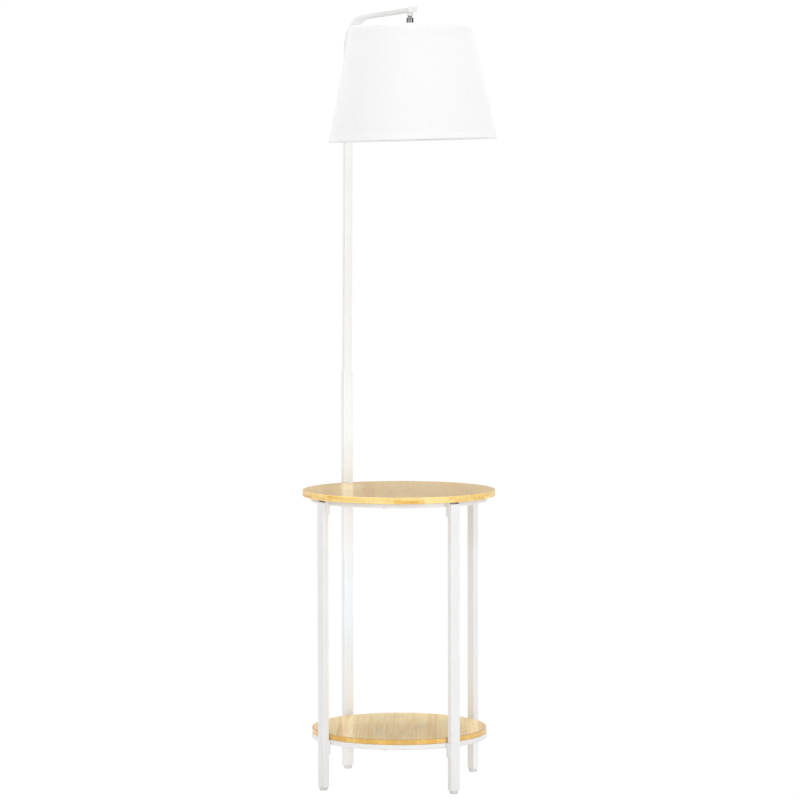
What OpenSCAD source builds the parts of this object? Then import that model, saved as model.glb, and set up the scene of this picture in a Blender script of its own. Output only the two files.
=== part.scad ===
// Floor lamp with a round side table: four tube legs carry two ring frames
// with bamboo boards, and one leg goes on up as the post of a hanging lamp.
// Millimetres, +Z up, origin on the floor under the centre of the table,
// -Y is the front.

/* [Table] */
// Diameter of the round table top
top_d = 395; // [390:1:420]
// Height of the table top's upper face above the floor
top_z = 603; // [560:1:640]
// Thickness of the table top
top_t = 13; // [12:0.5:18]
// Diameter of the round shelf
shelf_d = 359; // [350:1:360]
// Height of the shelf's upper face above the floor
shelf_z = 114; // [105:1:160]
// Thickness of the shelf
shelf_t = 11; // [10:0.5:14]
// Rounding of the boards' edges
edge_r = 2; // [1:0.25:3]
// Width of the rim notches around a leg
notch_w = 25; // [24.5:0.5:28]

/* [Ring frames] */
// Outside radius of both rings
ring_r = 180.5; // [178:0.5:180.5]
// Side of the rings' square tube
ring_s = 10; // [9:0.5:12]
// Wall of the rings' tube
ring_wall = 1.2; // [1:0.1:2]

/* [Legs and post] */
// Radius of the circle on which the legs stand
leg_circle = 189; // [189:0.5:192]
// Angle of the back right leg; the front legs stand two and three quarter turns on
leg_angle = 35.5; // [30:0.5:45]
// Angle from the back right leg to the post
post_turn = 89.5; // [89:0.1:91]
// Width of the leg tube, along the rim
leg_w = 22; // [21:0.5:22.5]
// Depth of the leg tube, towards the centre
leg_d = 13; // [12.5:0.5:14]
// Wall of the leg tube
leg_wall = 1.2; // [1:0.1:1.5]
// Corner rounding of the leg tube
leg_corner = 1.6; // [1.3:0.1:2.5]
// Gap between the tops of the short legs and the table top
leg_gap = 5; // [3:0.5:8]
// Height of the glide feet
foot_h = 7; // [5:0.5:12]
// Diameter of the glide feet
foot_d = 17.4; // [14:0.2:20]
// Height at which the lower post ends and the upper pole starts
post_top = 837; // [760:1:900]

/* [Upper pole and arm] */
// Width of the upper pole's tube
pole_w = 19; // [18:0.5:19]
// Depth of the upper pole's tube
pole_d = 10; // [9:0.5:10]
// Wall of the upper pole's tube
pole_wall = 1; // [0.8:0.1:1.2]
// Length of pole inside the post
pole_in = 40; // [30:1:42]
// Lean of the pole towards the arm's side, in degrees
pole_lean = 0.753; // [0:0.001:0.8]
// Bend radius of the pole at its centreline
bend_r = 67.6; // [50:0.1:80]
// Rise of the arm above a square to the pole, in degrees
arm_rise = 3.585; // [0:0.005:6]
// Height of the arm's centreline at its free end, measured along the pole
arm_z = 1582.9; // [1500:0.1:1620]
// Reach of the arm from the pole's axis to its free end
arm_len = 229.7; // [229.5:0.1:240]
// Reach of the hanging axis from the pole's axis
hang_s = 220.3; // [215:0.1:220.5]

/* [Swivel] */
// Diameter of the boss under the arm
boss_d = 11.4; // [11:0.1:13]
// Depth of the ball's centre under the arm's centreline
ball_drop = 22.3; // [21.6:0.1:24]
// Radius of the ball
ball_r = 6.2; // [6:0.1:6.3]
// Diameter of the chrome cup
cup_d = 14.4; // [14.2:0.1:16]
// Tilt of the shade as it hangs, in degrees
rest_tilt = 1.44; // [0:0.01:3]

/* [Shade] */
// Diameter of the shade at its top
shade_top_d = 247; // [230:1:250]
// Diameter of the shade at its bottom
shade_bot_d = 342; // [320:1:350]
// Height of the shade
shade_h = 232; // [200:1:240]
// Thickness of liner and fabric together
shade_t = 1.2; // [1:0.1:2]
// Height of the hem bands
hem_h = 13; // [8:0.5:20]
// Wire diameter of the shade's rings and spokes
wire_d = 2.5; // [2:0.1:3]
// Depth of the shade's top edge under the ball's centre
shade_drop = 9.7; // [9:0.1:12]

/* [Hidden] */
$fn = 48;

A_BR = leg_angle;
A_BL = leg_angle + post_turn;
A_FL = leg_angle + 180;
A_FR = leg_angle + 270;
LEGS = [A_BR, A_BL, A_FL, A_FR];
top_under = top_z - top_t;
shelf_under = shelf_z - shelf_t;
leg_top = top_under - leg_gap;
up_ring_z = top_under - ring_s;
lo_ring_z = shelf_under - ring_s;
// brackets: one sheet, folded to a U, as tall as this
brk_h = 29;
brk_t = 1.8;
brk_in = 0.1;
brk_depth = 10.4;
web_x = -leg_d / 2 - brk_in - brk_t;
up_screw_z = up_ring_z - 9;
lo_screw_z = lo_ring_z - 9;
// where the arm starts after the bend, in the leaning pole's own frame
bend_a = 90 - arm_rise;
arm_z0 = arm_z - arm_len * tan(arm_rise);
bend_z = arm_z0 + (bend_r - bend_r * cos(bend_a)) * tan(arm_rise) - bend_r * sin(bend_a);
arm_x = -bend_r + bend_r * cos(bend_a);
arm_zs = bend_z + bend_r * sin(bend_a);
arm_run = (arm_len + arm_x) / cos(arm_rise);
// the pole leans about the middle of its length in the post
lean_z = post_top - pole_in / 2;
function leaned(x, y, z) = [x * cos(pole_lean) - (z - lean_z) * sin(pole_lean), y, lean_z + x * sin(pole_lean) + (z - lean_z) * cos(pole_lean)];
hang_p = leaned(-hang_s, 0, arm_z0 + hang_s * tan(arm_rise));
hang_arm_z = hang_p[2];
ball_z = hang_arm_z - ball_drop;
HANG = [(leg_circle + hang_p[0]) * cos(A_BL), (leg_circle + hang_p[0]) * sin(A_BL), ball_z];
lock_z = lean_z;
inlet_z = 62;
shade_slope = (shade_bot_d - shade_top_d) / 2 / shade_h;
function shade_r(z) = shade_top_d / 2 + (-shade_drop - z) * shade_slope;
shade_z0 = -shade_drop;
shade_z1 = -shade_drop - shade_h;
c_white = [0.93, 0.93, 0.92];
c_wood = [0.86, 0.70, 0.44];
c_chrome = [0.75, 0.76, 0.78];
c_steel = [0.62, 0.63, 0.65];
c_brass = [0.78, 0.64, 0.30];
c_fabric = [0.95, 0.95, 0.94];
c_plastic = [0.86, 0.86, 0.85];

// ---- helpers ----
module at_leg(a) { rotate([0, 0, a]) translate([leg_circle, 0, 0]) children(); }
module at_hang() { translate(HANG) children(); }
module at_head() { translate(HANG) rotate([0, -rest_tilt, 0]) children(); }
module at_pole() { at_leg(A_BL) translate([0, 0, lean_z]) rotate([0, -pole_lean, 0]) translate([0, 0, -lean_z]) children(); }
// frame of the straight arm: z along the arm, x away from the arm's underside
module at_arm() { at_pole() translate([arm_x, 0, arm_zs]) rotate([0, -bend_a, 0]) children(); }
module rrect(w, d, r) {
  square([w - 2 * r, d], center = true);
  square([w, d - 2 * r], center = true);
  for (x = [-1, 1], y = [-1, 1]) translate([x * (w / 2 - r), y * (d / 2 - r)]) circle(r, $fn = 32);
}
module tube2d(w, d, t, r) {
  difference() {
    rrect(w, d, r);
    rrect(w - 2 * t, d - 2 * t, max(r - t, 0.4));
  }
}
module hole_x(x, z, r, l) { translate([x, 0, z]) rotate([0, 90, 0]) cylinder(r = r, h = l); }
module board(r, t, e) {
  rotate_extrude($fn = 128) {
    square([r - e, t]);
    translate([0, e]) square([r, t - 2 * e]);
    translate([r - e, e]) circle(e, $fn = 32);
    translate([r - e, t - e]) circle(e, $fn = 32);
  }
}
module rim_notch(a, r0, w) {
  rotate([0, 0, a]) translate([r0 + 25, 0, -1]) linear_extrude(40) rrect(50, w, 2.5);
}
// the four screw places of a ring, midway between the legs
module at_ring_screws() { for (q = [0:90:270]) rotate([0, 0, leg_angle + q + 45]) translate([ring_r - ring_s / 2, 0, 0]) children(); }

// ---- table ----
module table_top() {
  color(c_wood) translate([0, 0, top_under]) difference() {
    board(top_d / 2, top_t, edge_r);
    rim_notch(A_BL, leg_circle - leg_d / 2 - 1.2, leg_w + 2.4);
    at_ring_screws() translate([0, 0, -0.1]) cylinder(r = 2.05, h = 8);
  }
}
module shelf() {
  color(c_wood) translate([0, 0, shelf_under]) difference() {
    board(shelf_d / 2, shelf_t, edge_r * 0.75);
    for (a = LEGS) rim_notch(a, leg_circle - leg_d / 2 - 6, notch_w);
    at_ring_screws() translate([0, 0, -0.1]) cylinder(r = 2.05, h = 7.1);
  }
}
module ring_frame(z) {
  translate([0, 0, z]) difference() {
    rotate_extrude($fn = 128) translate([ring_r - ring_s / 2, ring_s / 2]) tube2d(ring_s, ring_s, ring_wall, 1.5);
    at_ring_screws() translate([0, 0, -1]) cylinder(r = 2.3, h = ring_s + 2);
  }
}
module upper_ring() { color(c_white) ring_frame(up_ring_z); }
module lower_ring() { color(c_white) ring_frame(lo_ring_z); }
// side outline of a bracket: radius on the lower corners
module bracket_side(h) {
  ro = 4.5;
  ri = 1.2;
  translate([ri, 0]) square([brk_depth - ri - ro, h]);
  translate([0, ri]) square([ri + 0.01, h - ri]);
  translate([brk_depth - ro - 0.01, ro]) square([ro + 0.01, h - ro]);
  translate([ri, ri]) circle(ri, $fn = 32);
  translate([brk_depth - ro, ro]) circle(ro, $fn = 48);
}
module bracket(z1, zs) {
  by = leg_w + 2 * brk_in + 2 * brk_t;
  difference() {
    intersection() {
      translate([0, 0, z1 - brk_h]) linear_extrude(brk_h) difference() {
        translate([web_x, -by / 2]) square([brk_depth, by]);
        translate([web_x + brk_t, -by / 2 + brk_t]) square([brk_depth, by - 2 * brk_t]);
      }
      translate([web_x, by / 2 + 1, z1 - brk_h]) rotate([90, 0, 0]) linear_extrude(by + 2) bracket_side(brk_h);
    }
    hole_x(web_x - 1, zs, 2.75, brk_t + 2);
  }
}
module upper_brackets() { color(c_white) for (a = LEGS) at_leg(a) bracket(top_under - 0.02, up_screw_z); }
module lower_brackets() { color(c_white) for (a = LEGS) at_leg(a) bracket(shelf_under, lo_screw_z); }

// ---- legs ----
module leg_tube(z1) {
  difference() {
    translate([0, 0, foot_h]) linear_extrude(z1 - foot_h) tube2d(leg_d, leg_w, leg_wall, leg_corner);
    for (z = [up_screw_z, lo_screw_z]) hole_x(-leg_d / 2 - 1, z, 3.35, leg_wall + 1.5);
  }
}
module leg_front_left() { color(c_white) at_leg(A_FL) leg_tube(leg_top); }
module leg_front_right() { color(c_white) at_leg(A_FR) leg_tube(leg_top); }
module leg_back_right() { color(c_white) at_leg(A_BR) leg_tube(leg_top); }
module post_lower() {
  color(c_white) at_leg(A_BL) difference() {
    leg_tube(post_top);
    hole_x(leg_d / 2 - leg_wall - 0.5, lock_z, 2.25, leg_wall + 1.5);
    hole_x(leg_d / 2 - leg_wall - 0.5, inlet_z, 4.5, leg_wall + 1.5);
  }
}
module plug(h) { linear_extrude(h) rrect(leg_d - 2 * leg_wall - 0.5, leg_w - 2 * leg_wall - 0.5, 1.2); }
module leg_top_caps() {
  color(c_plastic) for (a = [A_BR, A_FL, A_FR]) at_leg(a) difference() {
    union() {
      translate([0, 0, leg_top]) linear_extrude(1.4) rrect(leg_d - 0.6, leg_w - 0.6, leg_corner);
      translate([0, 0, leg_top - 9]) plug(9.1);
    }
    translate([0, 0, leg_top - 9.1]) linear_extrude(7.6) rrect(leg_d - 6, leg_w - 6, 1);
  }
}
module glide_feet() {
  color(c_plastic) for (a = LEGS) at_leg(a) {
    r = foot_d / 2;
    rotate_extrude($fn = 64) polygon([[0, 0], [r - 2.2, 0], [r - 0.8, 0.7], [r, 2.2], [r, foot_h - 0.5], [r - 0.5, foot_h], [0, foot_h]]);
    translate([0, 0, foot_h - 0.1]) plug(14.1);
  }
}
module leg_insert() {
  difference() {
    union() {
      hole_x(-leg_d / 2, 0, 3.3, leg_wall + 0.1);
      hole_x(-leg_d / 2 + leg_wall + 0.02, 0, 4.1, 4);
    }
    hole_x(-leg_d / 2 - 1, 0, 2.55, 8);
  }
}
module leg_inserts() {
  color(c_steel) for (a = LEGS, z = [up_screw_z, lo_screw_z]) at_leg(a) translate([0, 0, z]) leg_insert();
}
module leg_screw() {
  difference() {
    union() {
      hole_x(web_x - 1.2, 0, 4.7, 1.15);
      translate([web_x - 2.7, 0, 0]) rotate([0, 90, 0]) cylinder(r1 = 3.4, r2 = 4.7, h = 1.5);
      hole_x(web_x - 0.1, 0, 2.5, brk_t + brk_in + leg_wall + 3.9);
    }
    translate([web_x - 2.8, 0, 0]) rotate([0, 90, 0]) cylinder(r = 1.75, h = 1.8, $fn = 6);
  }
}
module leg_screws() {
  color(c_steel) for (a = LEGS, z = [up_screw_z, lo_screw_z]) at_leg(a) translate([0, 0, z]) leg_screw();
}
module wood_screw(l) {
  difference() {
    union() {
      translate([0, 0, -1.4]) cylinder(r1 = 3.2, r2 = 4, h = 0.7);
      translate([0, 0, -0.7]) cylinder(r = 4, h = 0.68);
      translate([0, 0, -0.1]) cylinder(r = 2, h = l - 2);
      translate([0, 0, l - 2.1]) cylinder(r1 = 2, r2 = 0.3, h = 2.1);
    }
    for (q = [0, 90]) rotate([0, 0, q]) translate([-1.9, -0.35, -1.5]) cube([3.8, 0.7, 1]);
  }
}
module top_wood_screws() { color(c_white) at_ring_screws() translate([0, 0, up_ring_z]) wood_screw(ring_s + 7.5); }
module shelf_wood_screws() { color(c_white) at_ring_screws() translate([0, 0, lo_ring_z]) wood_screw(ring_s + 6.7); }

// ---- pole and arm ----
// one bar along post, bend and arm; its ends reach 1 mm into the bend, which is
// 0.05 mm fuller all round
module pole_bar(w, d, r, e) {
  o = 1;
  g = 0.05;
  at_pole() {
    translate([0, 0, post_top - pole_in - e]) linear_extrude(bend_z - post_top + pole_in + e + o) rrect(w, d, r);
    translate([-bend_r, 0, bend_z]) rotate([90, 0, 0]) rotate_extrude(angle = bend_a, $fn = 128) translate([bend_r, 0]) rrect(w + 2 * g, d + 2 * g, r + g);
  }
  at_arm() translate([0, 0, -o]) linear_extrude(arm_run + e + o) rrect(w, d, r);
}
module pole_upper() {
  color(c_white) difference() {
    pole_bar(pole_d, pole_w, 1.5, 0);
    pole_bar(pole_d - 2 * pole_wall, pole_w - 2 * pole_wall, 0.6, 2);
    at_pole() hole_x(pole_d / 2 - pole_wall - 0.5, lock_z, 3.05, pole_wall + 1.5);
    at_hang() translate([0, 0, 12]) cylinder(r = 4.4, h = 10);
  }
}
module pole_lock_screw() {
  x0 = leg_d / 2 + 0.02;
  color(c_white) at_leg(A_BL) translate([0, 0, lock_z]) difference() {
    union() {
      translate([x0, 0, 0]) rotate([0, 90, 0]) cylinder(r = 3.8, h = 1);
      translate([x0 + 1, 0, 0]) rotate([0, 90, 0]) cylinder(r1 = 3.8, r2 = 2.8, h = 1.2);
      hole_x(-0.6, 0, 2, x0 + 0.7);
    }
    translate([x0 + 0.8, 0, 0]) rotate([0, 90, 0]) cylinder(r = 1.45, h = 2, $fn = 6);
  }
}
module pole_lock_insert() {
  color(c_steel) at_pole() translate([0, 0, lock_z]) difference() {
    union() {
      hole_x(pole_d / 2 - pole_wall - 0.1, 0, 3, pole_wall + 0.1);
      hole_x(-0.3, 0, 3.3, pole_d / 2 - pole_wall + 0.28);
    }
    hole_x(-1, 0, 2.15, 8);
  }
}
module arm_end_cap() {
  color(c_white) at_arm() {
    translate([0, 0, arm_run + 0.02]) linear_extrude(1.4) rrect(pole_d + 0.8, pole_w + 0.8, 1.7);
    translate([0, 0, arm_run + 1.4]) linear_extrude(0.6) rrect(pole_d, pole_w, 1.5);
    translate([0, 0, arm_run - 2]) linear_extrude(2.1) rrect(pole_d - 2 * pole_wall - 0.3, pole_w - 2 * pole_wall - 0.3, 0.6);
  }
}
module arm_boss() {
  color(c_white) difference() {
    at_hang() translate([0, 0, 10.2]) difference() {
      cylinder(r = boss_d / 2, h = 12, $fn = 64);
      translate([0, 0, -1]) cylinder(r = 4.05, h = 14, $fn = 64);
    }
    at_arm() translate([-pole_d / 2 - 0.02, -40, -20]) cube([60, 80, arm_run + 60]);
  }
}
module cord_inlet_grommet() {
  x0 = leg_d / 2 - leg_wall;
  color([0.9, 0.9, 0.89]) at_leg(A_BL) translate([0, 0, inlet_z]) difference() {
    union() {
      hole_x(x0 - 1.2, 0, 5.6, 1.18);
      hole_x(x0 - 0.5, 0, 4.45, leg_wall + 1);
      translate([leg_d / 2 + 0.02, 0, 0]) rotate([0, 90, 0]) cylinder(r1 = 6, r2 = 4.6, h = 2.4);
    }
    hole_x(x0 - 3, 0, 2.7, 10);
  }
}
// route of the lead in the post's own frame, the part in the pole leaning with it: [x, y, z]
LEAD = concat(
  [[0, -6.9, 86], [0, -6.9, 160], [0, -6.9, 300], [0, -6.9, 500], [0, -6.9, 640], [0, -6.8, 700], [0, -6.3, 735], [0, -6, 760], [0, -5.9, 790],
   leaned(0, -5.9, 900), leaned(0, -5.9, 1100), leaned(0, -5.9, 1300), leaned(0, -5.9, 1440)],
  [for (q = [0:10:80]) leaned(-bend_r + bend_r * cos(q), -5.9, bend_z + bend_r * sin(q))],
  [for (s = [80, 120, 160, 195, 210]) leaned(-s, -5.9, arm_z0 + s * tan(arm_rise))]
);
lead_r = 2.3;
function unit(v) = v / norm(v);
function lead_dir(i) = unit(LEAD[min(i + 1, len(LEAD) - 1)] - LEAD[max(i - 1, 0)]);
module lead_in_pole() {
  n = 8;
  m = len(LEAD);
  pts = [for (i = [0:m - 1]) let (d = lead_dir(i), u = unit(cross([0, 1, 0], d)), v = cross(d, u))
    for (k = [0:n - 1]) LEAD[i] + lead_r * (cos(360 * k / n) * u + sin(360 * k / n) * v)];
  faces = concat(
    [[for (k = [0:n - 1]) k]],
    [for (i = [0:m - 2]) for (k = [0:n - 1]) let (a = i * n + k, b = i * n + (k + 1) % n, c = a + n, e = b + n) [a, c, b]],
    [for (i = [0:m - 2]) for (k = [0:n - 1]) let (a = i * n + k, b = i * n + (k + 1) % n, c = a + n, e = b + n) [b, c, e]],
    [[for (k = [n - 1:-1:0]) (m - 1) * n + k]]
  );
  color([0.9, 0.9, 0.88]) at_leg(A_BL) polyhedron(points = pts, faces = faces, convexity = 6);
}

// ---- swivel ----
// washer inside the arm: its lower face follows the arm, its upper face is level
module swivel_washer() {
  color([0.8, 0.8, 0.78]) difference() {
    at_hang() translate([0, 0, hang_arm_z - ball_z - 6]) difference() {
      cylinder(r = 6.6, h = 3.1);
      translate([0, 0, -1]) cylinder(r = 4.4, h = 6);
    }
    at_arm() translate([-pole_d / 2 - 20 + pole_wall + 0.02, -40, -20]) cube([20, 80, arm_run + 60]);
  }
}
module swivel_nut() {
  z0 = hang_arm_z - ball_z - 6 + 3.15;
  color(c_steel) at_hang() translate([0, 0, z0]) difference() {
    cylinder(r = 6.7, h = 3, $fn = 6);
    translate([0, 0, -1]) cylinder(r = 4.04, h = 5);
  }
}
module swivel_stud() {
  color(c_chrome) at_hang() difference() {
    union() {
      sphere(ball_r, $fn = 64);
      cylinder(r = 3.8, h = 7, $fn = 64);
      translate([0, 0, 6.6]) cylinder(r1 = 3.8, r2 = 5.3, h = 2.6, $fn = 64);
      translate([0, 0, 9.2]) cylinder(r = 5.3, h = 0.7, $fn = 64);
      translate([0, 0, 9.8]) cylinder(r = 4, h = hang_arm_z - ball_z - 9.8 + 1.2, $fn = 64);
    }
    translate([0, 0, -10]) cylinder(r = 2.2, h = 50);
    translate([0, 0, -10]) cylinder(r = 10, h = 5);
  }
}
module swivel_cup() {
  color(c_chrome) at_head() difference() {
    union() {
      translate([0, 0, -9]) cylinder(r = cup_d / 2, h = 14.3, $fn = 64);
      translate([0, 0, 5.3]) cylinder(r1 = cup_d / 2, r2 = cup_d / 2 - 0.5, h = 0.5, $fn = 64);
    }
    sphere(ball_r + 0.05, $fn = 64);
    translate([0, 0, -9.1]) cylinder(r = ball_r + 0.05, h = 9.1, $fn = 64);
    cylinder(r = 5.3, h = 7, $fn = 64);
  }
}
module ball_seat() {
  color([0.92, 0.92, 0.88]) at_head() difference() {
    translate([0, 0, -7]) cylinder(r = ball_r, h = 4.4, $fn = 64);
    sphere(ball_r + 0.05, $fn = 64);
    translate([0, 0, -8]) cylinder(r = 3.6, h = 6);
  }
}
module swivel_plug() {
  color(c_steel) at_head() difference() {
    union() {
      translate([0, 0, -9]) cylinder(r = ball_r, h = 1.95, $fn = 64);
      translate([0, 0, -21]) cylinder(r = 4.9, h = 12.1);
    }
    translate([0, 0, -22]) cylinder(r = 3, h = 16);
  }
}

// ---- lampholder, all heights from the ball's centre ----
module holder_cap() {
  color(c_plastic) at_head() rotate_extrude($fn = 64) polygon([
    [5, -9.1], [9, -9.1], [12, -9.6], [15, -11.2], [17.6, -13.8], [19.3, -17.4], [20, -22], [20, -29.9],
    [18, -29.9], [18, -22.4], [17.4, -18.4], [16, -15.4], [13.9, -13.2], [11.4, -11.7], [8.8, -11.1], [5, -11.1]]);
}
module holder_nut() {
  color(c_steel) at_head() translate([0, 0, -14.2]) difference() {
    cylinder(r = 8, h = 3, $fn = 6);
    translate([0, 0, -1]) cylinder(r = 4.95, h = 5);
  }
}
module holder_body() {
  color(c_plastic) at_head() difference() {
    union() {
      translate([0, 0, -33]) cylinder(r = 22.5, h = 3, $fn = 64);
      translate([0, 0, -70]) cylinder(r = 19.8, h = 37.1, $fn = 64);
    }
    translate([0, 0, -71]) cylinder(r = 14.3, h = 29, $fn = 64);
    translate([0, 0, -36]) cylinder(r = 16, h = 7, $fn = 64);
    for (x = [-9, 9]) translate([x, 0, -43]) cylinder(r = 1.5, h = 8);
  }
}
module holder_shell() {
  color(c_brass) at_head() translate([0, 0, -66]) difference() {
    cylinder(r = 14.22, h = 23.9, $fn = 64);
    translate([0, 0, -1]) cylinder(r = 13.6, h = 27, $fn = 64);
  }
}
module holder_contact() {
  color(c_brass) at_head() translate([0, 0, -43.4]) cylinder(r = 4, h = 1.38);
}
module shade_ring_nut() {
  color(c_plastic) at_head() difference() {
    union() {
      translate([0, 0, -37]) cylinder(r = 27, h = 2.2, $fn = 64);
      translate([0, 0, -44]) cylinder(r1 = 22.4, r2 = 23, h = 7.1, $fn = 64);
    }
    translate([0, 0, -45]) cylinder(r = 19.85, h = 12, $fn = 64);
  }
}
module bulb_cap() {
  color(c_steel) at_head() rotate_extrude($fn = 64) polygon([
    [0, -43.45], [3.6, -43.45], [4.6, -45.4], [11.6, -47.4], [13.1, -49], [13.1, -71], [0, -71]]);
}
// bulb outline: smooth neck into a round end
function bulb_r(u) = 13.4 + 16.6 * (1 - cos(180 * u)) / 2;
BULB_OUT = concat(
  [for (i = [0:14]) [bulb_r(i / 14), -71.05 - 49 * i / 14]],
  [for (q = [10:10:80]) [30 * cos(q), -120.05 - 30 * sin(q)]],
  [[0, -150.05]]
);
BULB_IN = concat(
  [[0, -149.05]],
  [for (q = [80:-10:10]) [29 * cos(q), -120.05 - 29 * sin(q)]],
  [for (i = [14:-1:0]) [bulb_r(i / 14) - 1, -71.05 - 49 * i / 14]]
);
module bulb_globe() {
  color([0.97, 0.97, 0.95]) at_head() rotate_extrude($fn = 64) polygon(concat(BULB_OUT, BULB_IN));
}

// ---- shade ----
wr = wire_d / 2;
top_wire_r = shade_top_d / 2 - shade_t - wr - 0.3;
top_wire_z = shade_z0 - wr - 0.7;
bot_wire_z = shade_z1 + wr + 0.7;
bot_wire_r = shade_r(bot_wire_z) - shade_t - wr - 0.5;
module wire_ring(r, z) { translate([0, 0, z]) rotate_extrude($fn = 128) translate([r, 0]) circle(wr, $fn = 24); }
module shade_frame() {
  fz = -33.9;
  dr = top_wire_r - 26;
  sz = fz + 0.3;
  dz = top_wire_z - sz;
  color(c_white) at_head() {
    wire_ring(top_wire_r, top_wire_z);
    difference() {
      translate([0, 0, fz - 0.8]) cylinder(r = 27.5, h = 1.6, $fn = 64);
      translate([0, 0, fz - 2]) cylinder(r = 20.1, h = 4, $fn = 64);
    }
    for (q = [90, 210, 330]) rotate([0, 0, q]) translate([26, 0, sz]) rotate([0, 90 - atan(dz / dr), 0]) cylinder(r = wr - 0.1, h = norm([dr, dz]), $fn = 24);
  }
}
module shade_bottom_ring() { color(c_white) at_head() wire_ring(bot_wire_r, bot_wire_z); }
module shade_shell() {
  a = shade_z0 - 0.5;
  b = shade_z1 + 0.5;
  color(c_fabric) at_head() rotate_extrude($fn = 128) polygon([
    [shade_r(a), a], [shade_r(b), b], [shade_r(b) - shade_t, b], [shade_r(a) - shade_t, a]]);
}
module hem(za, zb, zl) {
  // za is the rim, zb the band's other end, zl the board's own edge under the lip
  rotate_extrude($fn = 128) polygon([
    [shade_r(zb) + 0.03, zb], [shade_r(zb) + 0.55, zb], [shade_r(za) + 0.55, za],
    [shade_r(za) - shade_t, za], [shade_r(zl) - shade_t, zl], [shade_r(zl) + 0.03, zl]]);
}
module shade_top_hem() { color(c_fabric) at_head() hem(shade_z0, shade_z0 - hem_h, shade_z0 - 0.48); }
module shade_bottom_hem() { color(c_fabric) at_head() hem(shade_z1, shade_z1 + hem_h, shade_z1 + 0.48); }

table_top();
shelf();
upper_ring();
lower_ring();
upper_brackets();
lower_brackets();
leg_front_left();
leg_front_right();
leg_back_right();
post_lower();
leg_top_caps();
glide_feet();
leg_inserts();
leg_screws();
top_wood_screws();
shelf_wood_screws();
pole_upper();
pole_lock_screw();
pole_lock_insert();
arm_end_cap();
arm_boss();
cord_inlet_grommet();
lead_in_pole();
swivel_washer();
swivel_stud();
swivel_nut();
swivel_cup();
ball_seat();
swivel_plug();
holder_cap();
holder_nut();
holder_body();
holder_shell();
holder_contact();
shade_ring_nut();
shade_frame();
shade_bottom_ring();
shade_shell();
shade_top_hem();
shade_bottom_hem();
bulb_cap();
bulb_globe();
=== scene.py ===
# Looks of the floor lamp with table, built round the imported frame. Metres, +Z up, -Y is the front.

import math
import random

import bmesh
import bpy
from mathutils import Matrix, Vector


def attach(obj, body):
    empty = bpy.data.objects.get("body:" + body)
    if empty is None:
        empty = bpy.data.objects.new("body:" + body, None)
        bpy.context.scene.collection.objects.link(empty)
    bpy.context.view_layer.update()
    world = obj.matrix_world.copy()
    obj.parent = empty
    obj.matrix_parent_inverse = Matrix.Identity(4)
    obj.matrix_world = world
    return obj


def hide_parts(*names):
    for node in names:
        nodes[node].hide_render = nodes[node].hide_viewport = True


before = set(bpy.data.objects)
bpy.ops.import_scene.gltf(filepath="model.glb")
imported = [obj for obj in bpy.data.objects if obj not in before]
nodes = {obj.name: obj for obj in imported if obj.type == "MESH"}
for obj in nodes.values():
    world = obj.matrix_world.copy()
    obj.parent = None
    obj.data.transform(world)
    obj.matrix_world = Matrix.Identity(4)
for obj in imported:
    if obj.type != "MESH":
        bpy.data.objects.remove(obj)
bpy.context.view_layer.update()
scene = bpy.context.scene
MM = 0.001


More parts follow.
